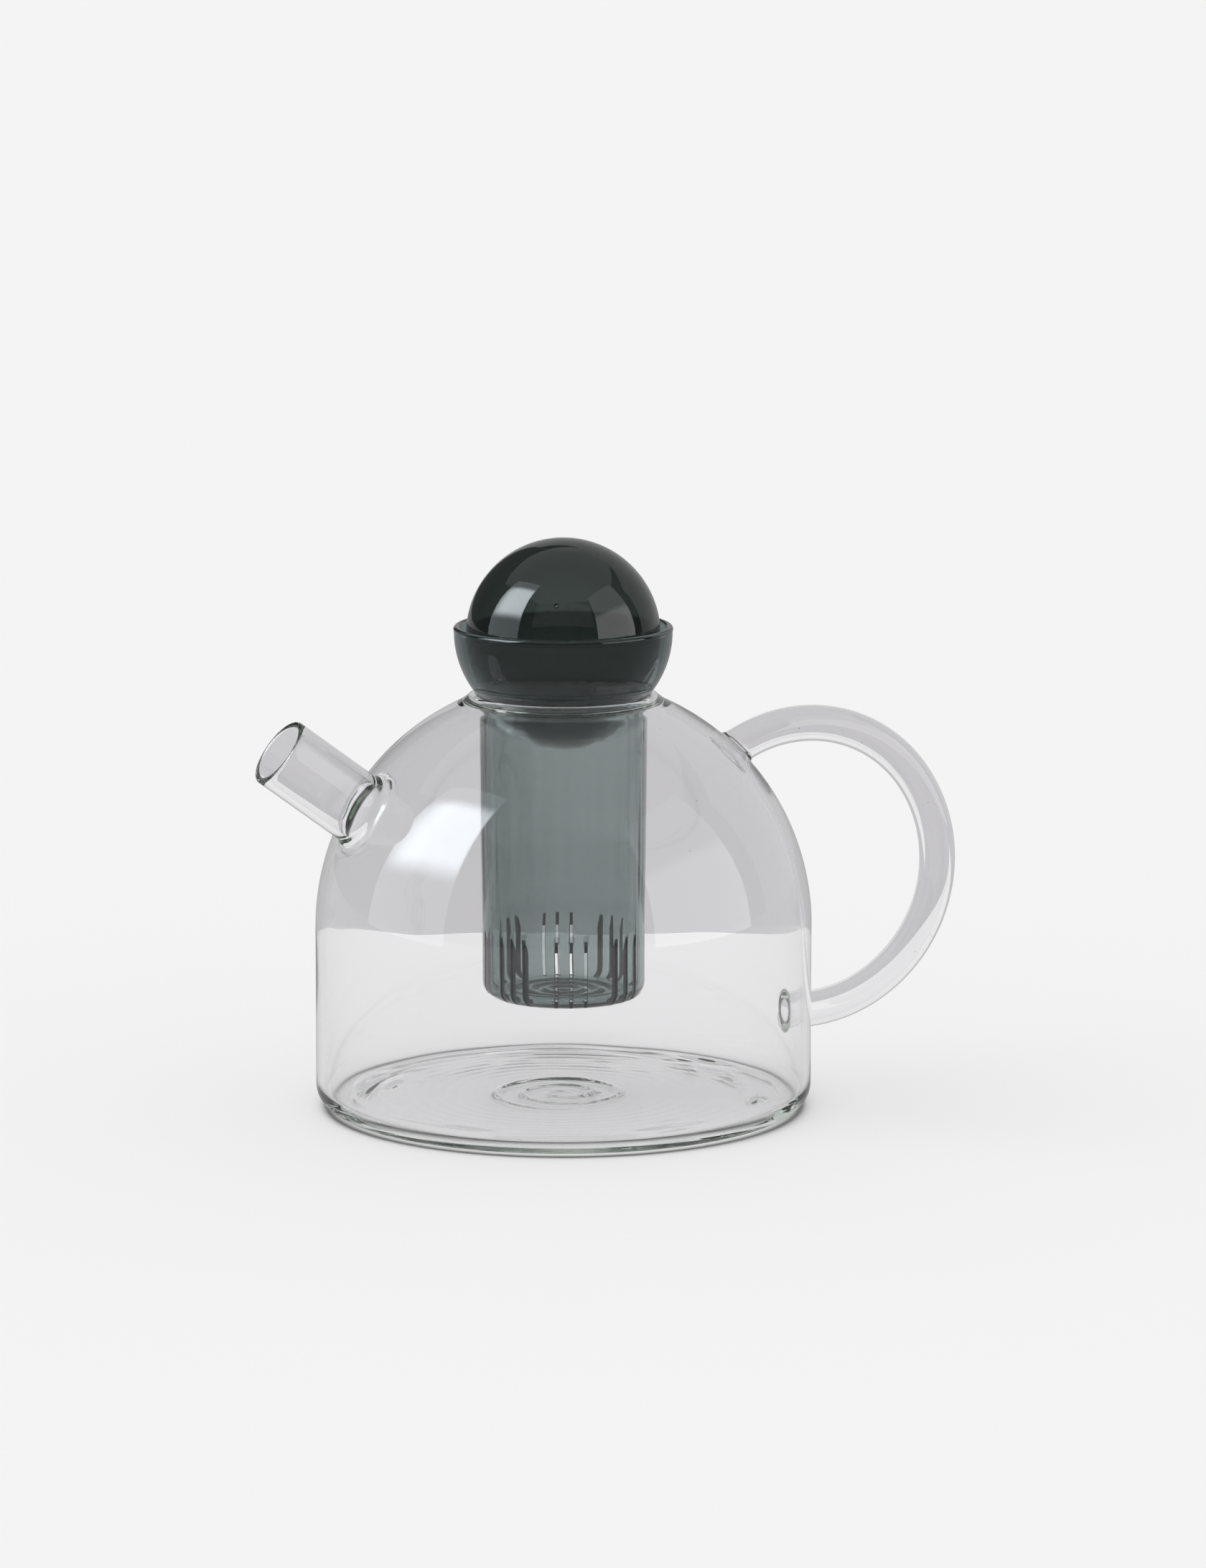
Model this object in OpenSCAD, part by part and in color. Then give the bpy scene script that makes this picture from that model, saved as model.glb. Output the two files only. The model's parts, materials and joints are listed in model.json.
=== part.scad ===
// Glass teapot: a blown vessel with a fused tube spout and a fused hollow handle,
// a slotted tube infuser that hangs in the mouth, and a hollow ball with a plug as its lid.
// Millimetres, +Z up. The origin is the centre of the foot, with the spout towards -X and
// the handle towards +X.

/* [Vessel] */
// Outer diameter of the vessel
body_d = 150; // [146:1:156]
// Height of the straight wall, up to the centre of the dome
wall_h = 55; // [50:1:60]
// Thickness of the blown wall
glass_t = 2.2; // [1.8:0.1:2.6]
// Thickness of the floor
floor_t = 3; // [2.5:0.1:4]
// Radius of the rounded edge round the foot
foot_round = 7; // [5:0.5:9]
// Diameter of the opening inside the mouth ring
mouth_d = 51.2; // [51:0.1:52]
// Thickness of the bead that forms the mouth ring
mouth_bead_d = 3.4; // [3:0.1:4]

/* [Spout] */
// Outer diameter of the spout's tube
spout_d = 21.6; // [20:0.2:24]
// Wall of the spout's tube
spout_t = 1.9; // [1.5:0.1:2.4]
// Angle of the spout above the horizontal, in degrees
spout_angle = 37; // [34:0.5:40]
// Height at which the spout's centre line crosses the axis of the vessel
spout_cross_h = 45.5; // [43:0.5:48]
// Distance from that crossing to the lip
spout_reach = 113; // [105:0.5:118]
// Width of the weld fillet round the spout
spout_weld_w = 2.6; // [2:0.1:3.2]

/* [Handle] */
// Outer diameter of the handle's tube
handle_d = 11; // [9:0.5:12]
// Wall of the handle's tube
handle_t = 1.7; // [1.2:0.1:2.2]
// Radius of the handle's centre line
handle_bend_r = 44.5; // [42:0.5:46]
// Height of the centre of the handle's bend
handle_centre_h = 67.5; // [65:0.5:69]
// Distance from the vessel's wall out to the centre of the handle's bend
handle_offset = 3.5; // [2:0.5:5]
// Width of the weld fillets round the handle
handle_weld_w = 1.6; // [1.2:0.1:2]

/* [Infuser] */
// Outer diameter of the infuser's tube just under the bowl
infuser_d = 49.8; // [49:0.1:50]
// Outer diameter of the infuser's tube at its floor
infuser_floor_d = 49; // [48:0.1:49]
// Wall of the infuser
infuser_t = 1.8; // [1.5:0.1:2]
// Thickness of the infuser's floor
infuser_floor_t = 2; // [1.6:0.1:2.4]
// Height of the infuser's underside above the foot of the vessel
infuser_floor_h = 33.4; // [28:0.2:38]
// Rounding of the infuser's lower edge
infuser_round = 4.6; // [3.6:0.2:5]
// Radius that the bowl's outer side is curved to
bowl_curve_r = 29.5; // [29:0.1:31]
// Distance of that curve's centre from the axis
bowl_curve_x = 3.3; // [2.5:0.1:4]
// Width of the saw cuts in the infuser
slot_w = 1; // [0.8:0.1:1.2]
// Distance between neighbouring cuts in a group
slot_pitch = 4.4; // [4:0.1:4.8]
// Number of groups of cuts round the infuser
slot_groups = 8; // [6:1:8]
// Cuts in each group
slots_per_group = 3; // [1:2:3]
// Height of the cuts on the outside of the infuser
slot_h = 21.5; // [18:0.5:24]

/* [Lid] */
// Outer diameter of the ball
ball_d = 58.4; // [57:0.1:59]
// Wall of the ball
ball_t = 1.8; // [1.5:0.1:2.2]
// Diameter of the plug under the ball, which stands loose in the infuser's tube
plug_d = 42; // [40:0.5:43]
// How far the plug reaches below the ball's centre
plug_drop = 34.5; // [34:0.5:35.5]
// Radius that the plug's end is rounded to
plug_end_r = 25.5; // [24:0.5:28]
// Diameter of the ball's vent
vent_d = 0.9; // [0.7:0.1:1.2]
// Gap left where one loose piece rests on another
seat_gap = 0.25; // [0.2:0.05:0.4]

/* [Hidden] */
$fn = 256;
eps = 0.01;
weld_edge = 0.25;
clear_glass = [0.86, 0.89, 0.89, 0.45];
smoked_glass = [0.20, 0.27, 0.27, 0.75];
dark_glass = [0.10, 0.15, 0.14, 0.9];

body_r = body_d / 2;
body_in_r = body_r - glass_t;
foot_in_round = foot_round - glass_t;
foot_in_r = body_in_r - foot_in_round;

// The mouth ring is a bead whose centre lies in the middle of the dome's wall.
mouth_bead_r = mouth_bead_d / 2;
mouth_r = mouth_d / 2 + mouth_bead_r;
mouth_h = wall_h + sqrt(pow(body_r - glass_t / 2, 2) - pow(mouth_r, 2)) + 0.5;

spout_r = spout_d / 2;
spout_in_r = spout_r - spout_t;
// Distance along the spout from its crossing with the vessel's axis to the dome.
spout_drop = wall_h - spout_cross_h;
spout_mid = spout_drop * sin(spout_angle);
spout_foot = spout_mid + sqrt(pow(body_r, 2) - pow(spout_drop * cos(spout_angle), 2));

handle_r = handle_d / 2;
handle_x = body_r + handle_offset;
// The handle's arc runs a little way into the vessel at each end, where it is trimmed.
handle_from = -100;
handle_to = 130;
// Angles of the bend at which the handle's centre line meets the dome and the straight wall.
handle_rise = handle_centre_h - wall_h;
handle_reach = sqrt(pow(handle_x, 2) + pow(handle_rise, 2));
handle_top_angle = 180 + atan(handle_rise / handle_x)
    - acos((pow(handle_reach, 2) + pow(handle_bend_r, 2) - pow(body_r, 2))
        / (2 * handle_reach * handle_bend_r));
handle_low_angle = -90 - asin(handle_offset / handle_bend_r);

// The bowl hangs on the mouth ring, and the ball lies on the edge between bowl and tube.
bowl_h = mouth_h
    + sqrt(pow(bowl_curve_r + mouth_bead_r + seat_gap, 2) - pow(mouth_r - bowl_curve_x, 2));
bowl_rim_h = bowl_h + 0.8;
bowl_in_r = bowl_curve_r - infuser_t;
infuser_r = infuser_d / 2;
infuser_in_r = infuser_r - infuser_t;
infuser_floor_r = infuser_floor_d / 2;
// Height at which the bowl's curve reaches the radius of the tube, outside and inside.
neck_h = bowl_h - sqrt(pow(bowl_curve_r, 2) - pow(infuser_r - bowl_curve_x, 2));
neck_in_h = bowl_h - sqrt(pow(bowl_in_r, 2) - pow(infuser_in_r - bowl_curve_x, 2));

// A cut is the path of a round saw that enters the wall at slot_h, slightly lower inside.
saw_r = 30;
saw_x = 50.5;
saw_h = infuser_floor_h + slot_h - sqrt(pow(saw_r, 2) - pow(saw_x - infuser_r, 2));
// Angle of the first group of cuts about the axis.
slot_start = -15;

ball_r = ball_d / 2;
ball_h = neck_in_h + sqrt(pow(ball_r + seat_gap, 2) - pow(infuser_in_r, 2));
// The vent is in the upper half of the ball, on the side away from the handle.
vent_azimuth = -115;
vent_elevation = 26;

// ---- Outlines and outer shapes ----

// Half of an upright pot's outline: a straight wall under a dome, with a rounded lower edge.
module pot_outline(r, low, dome_h, rounding) {
    translate([0, low]) square([r - rounding, dome_h - low]);
    translate([0, low + rounding]) square([r, dome_h - low - rounding]);
    translate([r - rounding, low + rounding]) circle(rounding);
    intersection() {
        translate([0, dome_h]) circle(r);
        translate([0, dome_h]) square(r);
    }
}

module mouth_bead_outline() {
    translate([mouth_r, mouth_h]) circle(mouth_bead_r);
}

// The vessel without its hollow, for trimming what is fused to its outside.
module vessel_solid() {
    cylinder(r = body_r, h = wall_h);
    translate([0, 0, wall_h]) sphere(body_r);
}

module at_spout() {
    translate([0, 0, spout_cross_h]) rotate([0, spout_angle - 90, 0]) children();
}

module at_handle() {
    translate([handle_x, 0, handle_centre_h]) rotate([90, 0, 0]) children();
}

// A length of the handle's bent tube, of outer radius r, between two angles of the bend.
module bent_rod(r, from, to) {
    at_handle() rotate([0, 0, from]) rotate_extrude(angle = to - from)
        translate([handle_bend_r, 0]) circle(r);
}

// A concave weld fillet round a tube of radius r, standing on the plane z = 0. Its top edge
// is left weld_edge thick, and it reaches bite into the tube and depth below the plane.
module weld_fillet(r, w, bite, depth) {
    rotate_extrude() difference() {
        translate([r - bite, -depth]) square([w + bite, depth + w]);
        translate([r + w, w]) circle(w - weld_edge);
    }
}

// ---- Vessel, with what is fused to it ----

module vessel_section() {
    difference() {
        pot_outline(body_r, 0, wall_h, foot_round);
        pot_outline(body_in_r, floor_t, wall_h, foot_in_round);
    }
}

// The floor and the straight wall, up to where the dome springs from it.
module vessel_cup() {
    color(clear_glass) rotate_extrude() intersection() {
        vessel_section();
        square([body_d, wall_h]);
    }
}

module vessel_dome() {
    color(clear_glass) difference() {
        rotate_extrude() difference() {
            intersection() {
                vessel_section();
                translate([mouth_r, wall_h]) square(body_d);
            }
            mouth_bead_outline();
        }
        at_spout() cylinder(r = spout_in_r, h = spout_reach);
    }
}

module mouth_ring() {
    color(clear_glass) rotate_extrude() mouth_bead_outline();
}

module spout_tube() {
    color(clear_glass) difference() {
        at_spout() rotate_extrude() {
            translate([spout_in_r, body_r / 2]) square([spout_t, spout_reach - body_r / 2 - spout_t / 2]);
            translate([spout_in_r + spout_t / 2, spout_reach - spout_t / 2]) circle(spout_t / 2);
        }
        vessel_solid();
    }
}

module spout_weld() {
    color(clear_glass) difference() {
        at_spout() translate([0, 0, spout_foot + 0.8])
            weld_fillet(spout_r, spout_weld_w, 0, 6);
        vessel_solid();
    }
}

module handle_tube() {
    color(clear_glass) difference() {
        bent_rod(handle_r, handle_from, handle_to);
        bent_rod(handle_r - handle_t, handle_from - 1, handle_to + 1);
        vessel_solid();
    }
}

// Puts its children where the handle's centre line passes an angle of the bend, with +Z along it.
module on_handle(angle, turn) {
    at_handle() rotate([0, 0, angle]) translate([handle_bend_r, 0, 0]) rotate([turn, 0, 0]) children();
}

module handle_weld(angle, turn) {
    color(clear_glass) difference() {
        on_handle(angle, turn) weld_fillet(handle_r, handle_weld_w, 0.5, 4);
        vessel_solid();
        bent_rod(handle_r, handle_from, handle_to);
    }
}

module handle_weld_upper() {
    handle_weld(handle_top_angle - 1, 90);
}

module handle_weld_lower() {
    handle_weld(handle_low_angle + 1, -90);
}

// ---- Infuser ----

module infuser_bowl() {
    color(smoked_glass) rotate_extrude() {
        difference() {
            translate([bowl_curve_x, bowl_h]) circle(bowl_curve_r);
            translate([bowl_curve_x, bowl_h]) circle(bowl_in_r);
            translate([-body_r, bowl_h]) square(2 * body_r);
            translate([-body_r, bowl_h - body_d]) square([body_r + infuser_in_r, 2 * body_d]);
            translate([-body_r, neck_h - body_d]) square([body_d, body_d]);
        }
        translate([bowl_curve_x + bowl_in_r, bowl_h]) square([infuser_t, bowl_rim_h - bowl_h]);
        translate([bowl_curve_x + bowl_in_r + infuser_t / 2, bowl_rim_h]) circle(infuser_t / 2);
    }
}

// One saw: a thin disc standing in the plane of the axis and the cut, off to the infuser's side.
module saw() {
    translate([saw_x, 0, saw_h]) rotate([90, 0, 0]) cylinder(r = saw_r, h = slot_w, center = true);
}

// Half of the outline of a slightly tapered cup, from the radius r at its floor to top_r at its top.
module tapered_outline(r, low, rounding, top_r, top) {
    rise = top - low - rounding;
    translate([0, low]) square([r - rounding, rounding + 1]);
    translate([r - rounding, low + rounding]) circle(rounding);
    translate([0, low + rounding]) polygon([[0, 0], [r, 0], [top_r, rise], [0, rise]]);
}

module infuser_tube() {
    color(smoked_glass) difference() {
        rotate_extrude() difference() {
            tapered_outline(infuser_floor_r, infuser_floor_h, infuser_round, infuser_r, neck_h);
            tapered_outline(infuser_floor_r - infuser_t, infuser_floor_h + infuser_floor_t,
                infuser_round - infuser_t, infuser_in_r, neck_h + eps);
        }
        for (group = [0:slot_groups - 1], k = [0:slots_per_group - 1])
            rotate([0, 0, slot_start + group * 360 / slot_groups])
                translate([0, (k - (slots_per_group - 1) / 2) * slot_pitch, 0]) saw();
    }
}

// ---- Lid ----

// The ball's shape, with its plug, made smaller all round by inset.
module plugged_ball(inset) {
    sphere(ball_r - inset);
    intersection() {
        translate([0, 0, plug_end_r - plug_drop]) sphere(plug_end_r - inset);
        translate([0, 0, -body_r]) cylinder(r = plug_d / 2 - inset, h = body_r);
    }
}

module ball_lid() {
    color(dark_glass) translate([0, 0, ball_h]) difference() {
        plugged_ball(0);
        plugged_ball(ball_t);
        rotate([0, 90 - vent_elevation, vent_azimuth]) cylinder(d = vent_d, h = ball_d, $fn = 32);
    }
}

vessel_cup();
vessel_dome();
mouth_ring();
spout_tube();
spout_weld();
handle_tube();
handle_weld_upper();
handle_weld_lower();
infuser_bowl();
infuser_tube();
ball_lid();
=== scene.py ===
import json
import math
import random

import bmesh
import bpy
import numpy as np
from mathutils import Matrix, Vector, noise


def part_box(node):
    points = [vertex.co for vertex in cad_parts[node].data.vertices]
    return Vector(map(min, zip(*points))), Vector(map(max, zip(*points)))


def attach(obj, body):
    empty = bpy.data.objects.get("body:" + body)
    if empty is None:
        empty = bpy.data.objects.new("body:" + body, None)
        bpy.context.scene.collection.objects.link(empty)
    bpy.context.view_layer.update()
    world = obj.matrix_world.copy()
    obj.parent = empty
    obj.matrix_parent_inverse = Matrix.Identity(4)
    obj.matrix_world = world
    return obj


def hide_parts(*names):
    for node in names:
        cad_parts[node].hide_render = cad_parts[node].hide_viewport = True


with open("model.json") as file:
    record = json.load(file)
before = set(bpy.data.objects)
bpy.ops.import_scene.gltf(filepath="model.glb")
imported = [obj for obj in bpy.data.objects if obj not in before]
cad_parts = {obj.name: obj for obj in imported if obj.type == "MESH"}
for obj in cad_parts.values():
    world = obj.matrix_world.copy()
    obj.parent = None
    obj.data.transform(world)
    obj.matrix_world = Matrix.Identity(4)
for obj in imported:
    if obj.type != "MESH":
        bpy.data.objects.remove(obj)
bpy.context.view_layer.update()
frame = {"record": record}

MM = 0.001
VESSEL_NODES = frame["record"]["behaviour"]["bodies"]["vessel"]

# ---- Sizes, read from the frame where it holds them. Metres, +Z up, spout towards -X ----

cup_low, cup_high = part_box("vessel_cup")
BODY_R = cup_high.y
WALL_H = cup_high.z
GLASS_T = 2.2 * MM
FLOOR_T = 3.0 * MM
FOOT_ROUND = 7.0 * MM
BODY_IN_R = BODY_R - GLASS_T
FOOT_IN_ROUND = FOOT_ROUND - GLASS_T

ring_low, ring_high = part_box("mouth_ring")
BEAD_R = (ring_high.z - ring_low.z) / 2
BEAD_Z = (ring_high.z + ring_low.z) / 2
RING_R = ring_high.y - BEAD_R

SPOUT_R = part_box("spout_tube")[1].y
SPOUT_T = 1.9 * MM
SPOUT_ANGLE = math.radians(37)
SPOUT_CROSS_Z = 45.5 * MM
SPOUT_REACH = 113 * MM

HANDLE_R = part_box("handle_tube")[1].y
HANDLE_T = 1.7 * MM
HANDLE_X = BODY_R + 3.5 * MM
HANDLE_Z = 67.5 * MM
HANDLE_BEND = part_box("handle_tube")[1].x - HANDLE_X - HANDLE_R
HANDLE_TOP = math.radians(130)
HANDLE_LENGTH = math.radians(230) * HANDLE_BEND

tube_low, tube_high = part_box("infuser_tube")
bowl_low, bowl_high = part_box("infuser_bowl")
INFUSER_T = 1.8 * MM
INFUSER_FLOOR_T = 2.0 * MM
INFUSER_R = tube_high.y
INFUSER_FLOOR_R = INFUSER_R - 0.4 * MM
INFUSER_FLOOR_Z = tube_low.z
INFUSER_ROUND = 4.6 * MM
NECK_Z = bowl_low.z
NECK_IN_Z = NECK_Z + 0.9 * MM
NECK_REACH = 2.2 * MM
NECK_IN_REACH = 1.2 * MM
LIP_BEAD = 0.15 * MM
BOWL_R = bowl_high.y
BOWL_CURVE_X = 3.3 * MM
BOWL_CURVE_R = BOWL_R - BOWL_CURVE_X
BOWL_RIM_Z = bowl_high.z - INFUSER_T / 2
BOWL_Z = BOWL_RIM_Z - 0.8 * MM
NECK_TURN = -math.degrees(math.acos((INFUSER_R - BOWL_CURVE_X) / BOWL_CURVE_R))

SLOT_W = 1.0 * MM
SLOT_PITCH = 4.4 * MM
SLOT_GROUPS = 8
GAP_COLUMNS = 16
SECTOR_R = 19 * MM
SLOT_H = 21.5 * MM
THICK_SIDE = math.radians(160)
SLOT_START = math.radians(-15)
SAW_R = 30 * MM
SAW_X = 50.5 * MM
SAW_Z = INFUSER_FLOOR_Z + SLOT_H - math.sqrt(SAW_R ** 2 - (SAW_X - INFUSER_R) ** 2)

ball_low, ball_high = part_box("ball_lid")
BALL_R = ball_high.y
BALL_Z = ball_high.z - BALL_R
BALL_T = 1.8 * MM
PLUG_R = 21.0 * MM
PLUG_END_R = 25.5 * MM
PLUG_END_Z = ball_low.z + PLUG_END_R
VENT_R = 0.45 * MM
# The vent's direction: 115 degrees round from the handle by way of the front, and 26 degrees up
VENT_WAY = (-0.3798, -0.8146, 0.4384)
VENT_RINGS = (4, 3, 2, 1.5, 1.25)
VENT_SIDES = 24
BALL_SEGMENTS = 192

FOOT_KICK = 0.5 * MM
SWIRL_R = 26 * MM
SWIRL_PITCH = 8.5 * MM
SWIRL_WIDE = 1.2 * MM
SWIRL_H = 0.68
RIPPLE = 4.2 * MM
RIPPLE_H = 0.012
PATCH_H = 0.3
STREAK_H = 2.2
DIMPLE = Vector((8.5 * MM, -4.0 * MM, FLOOR_T))
DIMPLE_R = 1.2 * MM
DIMPLE_H = -0.5
SEEDS = 28
BUBBLE_RINGS = 6
BUBBLE_SIDES = 10
HANDLE_RINGS = 120
FILLET_STEPS = 10
WELD_ROWS = (2.2, 1.9, 1.6, 1.3)
LIP_STEPS = 8
CAP_STEPS = 6
BORE_DOME = 0.8 * MM
WAVE = 0.16
FINE_WAVE = 0.05
WAVE_IN = 0.1
LINE_H = 0.16
BORE_OFF = 0.3
TURNING_H = 0.28 * MM
TURNING_PITCH = 5.2 * MM
ON_SKIN = 0.4 * MM
ON_FLOOR = 0.01 * MM
LEAVE_HALVINGS = 32
SAW_HALVINGS = 40


# ---- Mesh tools ----

class Surface:
    """A mesh collected as rows of points, joined by strips of faces."""

    def __init__(self):
        self.points = []
        self.faces = []
        self.ground = []

    def row(self, points):
        start = len(self.points)
        self.points.extend(tuple(p) for p in points)
        return list(range(start, len(self.points)))

    def strip(self, a, b):
        """Joins two closed rows, either of which may be a single point."""
        n = max(len(a), len(b))
        for i in range(n):
            j = (i + 1) % n
            if len(a) == 1:
                self.faces.append((a[0], b[j], b[i]))
            elif len(b) == 1:
                self.faces.append((a[i], a[j], b[0]))
            else:
                self.faces.append((a[i], a[j], b[j], b[i]))

    def strips(self, rows):
        for a, b in zip(rows, rows[1:]):
            self.strip(a, b)

    def cut_hole(self, inside):
        """Takes away the faces that touch a point for which inside is true, and gives the loop left."""
        hit = [bool(inside(Vector(p))) for p in self.points]
        gone = [f for f in self.faces if any(hit[v] for v in f)]
        self.faces = [f for f in self.faces if not any(hit[v] for v in f)]
        following = {}
        for f in gone:
            for a, b in zip(f, f[1:] + f[:1]):
                following[(a, b)] = True
        rim = {a: b for (a, b) in following if (b, a) not in following}
        start = next(iter(rim))
        loop = [start]
        while rim[loop[-1]] != start:
            loop.append(rim[loop[-1]])
        return loop

    def stitch(self, loop, ring, angle):
        """Joins two loops round one axis that have different numbers of points, in order of angle."""
        def unrolled(ids):
            turned = [angle(Vector(self.points[i])) for i in ids]
            if sum(math.remainder(b - a, math.tau) for a, b in zip(turned, turned[1:])) < 0:
                ids, turned = ids[::-1], turned[::-1]
            return ids, turned
        loop, loop_angles = unrolled(loop)
        ring, ring_angles = unrolled(ring)

        def off(i):
            return abs(math.remainder(ring_angles[i] - loop_angles[0], math.tau))
        first = min(range(len(ring)), key=off)
        ring = ring[first:] + ring[:first]
        ring_angles = ring_angles[first:] + ring_angles[:first]
        start = loop_angles[0]

        def steps(turned):
            total = math.remainder(turned[0] - start, math.tau)
            out = [total]
            for a, b in zip(turned, turned[1:] + turned[:1]):
                total += math.remainder(b - a, math.tau)
                out.append(total)
            return out
        at_loop, at_ring = steps(loop_angles), steps(ring_angles)
        i = j = 0
        while i < len(loop) or j < len(ring):
            a, b = loop[i % len(loop)], ring[j % len(ring)]
            if j == len(ring) or (i < len(loop) and at_loop[i + 1] <= at_ring[j + 1]):
                i += 1
                self.faces.append((a, loop[i % len(loop)], b))
            else:
                j += 1
                self.faces.append((a, ring[j % len(ring)], b))

    def into(self, mesh, cavity=False):
        """Adds this closed surface to a bmesh, facing out of the glass."""
        verts = [mesh.verts.new(p) for p in self.points]
        faces = [mesh.faces.new([verts[i] for i in f]) for f in self.faces]
        bmesh.ops.recalc_face_normals(mesh, faces=faces)
        if cavity:
            bmesh.ops.reverse_faces(mesh, faces=faces)
        for i in self.ground:
            faces[i].material_index = 1


def build(name, surfaces, materials, crease=40):
    """Makes one object of closed surfaces, given as (surface, is it a cavity). The second material,
    if there is one, is for the faces that a surface lists as ground."""
    mesh = bmesh.new()
    for surface, cavity in surfaces:
        surface.into(mesh, cavity)
    loose = [v for v in mesh.verts if not v.link_faces]
    bmesh.ops.delete(mesh, geom=loose, context="VERTS")
    open_edges = sum(1 for e in mesh.edges if len(e.link_faces) != 2)
    if open_edges:
        raise RuntimeError(f"{name} has {open_edges} open edges")
    data = bpy.data.meshes.new(name)
    mesh.to_mesh(data)
    mesh.free()
    data.shade_smooth()
    data.set_sharp_from_angle(angle=math.radians(crease))
    for material in materials:
        data.materials.append(material)
    piece = bpy.data.objects.new(name, data)
    bpy.context.scene.collection.objects.link(piece)
    return piece


def arc(centre, radius, start, end, steps):
    """Points (r, z) on an arc, angles in degrees from +r towards +z."""
    return [(centre[0] + radius * math.cos(math.radians(start + (end - start) * k / steps)),
             centre[1] + radius * math.sin(math.radians(start + (end - start) * k / steps)))
            for k in range(steps + 1)]


def line(a, b, steps):
    return [tuple(p + (q - p) * k / steps for p, q in zip(a, b)) for k in range(steps + 1)]


def bend(a, a_way, b, b_way, steps, pull=0.4):
    """A smooth curve from a to b that leaves along a_way and arrives along b_way."""
    a, b = np.array(a, float), np.array(b, float)
    size = np.linalg.norm(b - a) * pull
    p = a + np.array(a_way, float) / np.linalg.norm(a_way) * size
    q = b - np.array(b_way, float) / np.linalg.norm(b_way) * size
    out = []
    for k in range(steps + 1):
        t = k / steps
        out.append(tuple((1 - t) ** 3 * a + 3 * t * (1 - t) ** 2 * p + 3 * t * t * (1 - t) * q + t ** 3 * b))
    return out


def heading(points, i, j):
    """The direction from one point of a run to another."""
    return (points[j][0] - points[i][0], points[j][1] - points[i][1])


def joined(*runs):
    """One outline from several runs of points, without the points that repeat."""
    out = []
    for point in (p for run in runs for p in run):
        if not out or math.dist(point, out[-1]) > 1e-6:
            out.append(point)
    return out


def turned(surface, outline, segments, shift=None):
    """Rows of points of an outline (r, z) turned about the axis. shift moves each point."""
    rows = []
    for r, z in outline:
        if r < 1e-6:
            ring = [Vector((0, 0, z))]
        else:
            ring = [Vector((r * math.cos(math.tau * k / segments), r * math.sin(math.tau * k / segments), z))
                    for k in range(segments)]
        rows.append(surface.row(shift(p) if shift else p for p in ring))
    return rows


# ---- The vessel's walls, and what is fused to them ----

RINGS = 180
WALL_STEP = 1.7 * MM
NECK_OUT = 6.0 * MM
NECK_IN = 4.0 * MM


def wall_distance(p, radius):
    """How far a point lies outside the vessel's wall of this radius."""
    return Vector((p.x, p.y, max(p.z - WALL_H, 0))).length - radius


def spout_point(along, angle, radius):
    """A point at a distance along the spout, at an angle and a radius round its centre line."""
    way = Vector((-math.cos(SPOUT_ANGLE), 0, math.sin(SPOUT_ANGLE)))
    side = Vector((0, 1, 0))
    return (Vector((0, 0, SPOUT_CROSS_Z)) + way * along
            + (side * math.cos(angle) + way.cross(side) * math.sin(angle)) * radius)


def handle_point(along, angle, radius):
    """The same for the handle, whose bend is followed from its upper end."""
    turn = HANDLE_TOP - along / HANDLE_BEND
    reach = HANDLE_BEND + radius * math.sin(angle)
    return Vector((HANDLE_X + reach * math.cos(turn), -radius * math.cos(angle),
                   HANDLE_Z + reach * math.sin(turn)))


def handle_point_back(along, angle, radius):
    """The same from the handle's lower end."""
    return handle_point(HANDLE_LENGTH - along, angle, radius)


class Tube:
    """A tube that leaves the vessel's wall somewhere between low and high along its centre line."""

    def __init__(self, point, low, high, sides):
        self.point, self.low, self.high = point, low, high
        self.angles = [math.tau * k / sides for k in range(sides)]

    def leaves(self, angle, radius, wall):
        """How far along the tube the line at this angle and radius comes out of a wall."""
        low, high = self.low, self.high
        for _ in range(LEAVE_HALVINGS):
            middle = (low + high) / 2
            if wall_distance(self.point(middle, angle, radius), wall) < 0:
                low = middle
            else:
                high = middle
        return (low + high) / 2

    def on_wall(self, angle, radius, wall):
        return self.point(self.leaves(angle, radius, wall), angle, radius)

    def weld(self, radius, wall, reach, lift, lump=0.0):
        """Rows from the wall up a fillet to the tube, and how far along the tube the last row lies.
        The first rows lie in the wall, the fillet is reach wide and lift high, and lump swells it."""
        rows = [[self.on_wall(a, radius + reach * wide, wall) for a in self.angles]
                for wide in WELD_ROWS]
        ends = [self.leaves(a, radius, wall) + lift for a in self.angles]
        runs = []
        for a, end in zip(self.angles, ends):
            foot = self.on_wall(a, radius + reach, wall)
            inward = self.on_wall(a, radius + reach * 0.98, wall) - foot
            top = self.point(end, a, radius)
            up = self.point(end + 0.01 * MM, a, radius) - top
            run = [Vector(p) for p in bend(foot, inward, top, up, FILLET_STEPS, 0.5)]
            axis = self.point(self.leaves(a, radius, wall), a, 0)
            for k, p in enumerate(run):
                uneven = 1 + 0.5 * noise.noise(p * 180)
                swell = lump * math.sin(math.pi * k / FILLET_STEPS) ** 2 * uneven
                run[k] = p + (p - axis).normalized() * swell
            runs.append(run)
        rows += [[run[k] for run in runs] for k in range(FILLET_STEPS + 1)]
        return rows, ends

    def between(self, starts, stops, radius, steps):
        """Rows along the tube between two rows that lie these distances along it."""
        return [[self.point(s + (e - s) * k / steps, a, radius)
                 for a, s, e in zip(self.angles, starts, stops)] for k in range(1, steps)]


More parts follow.
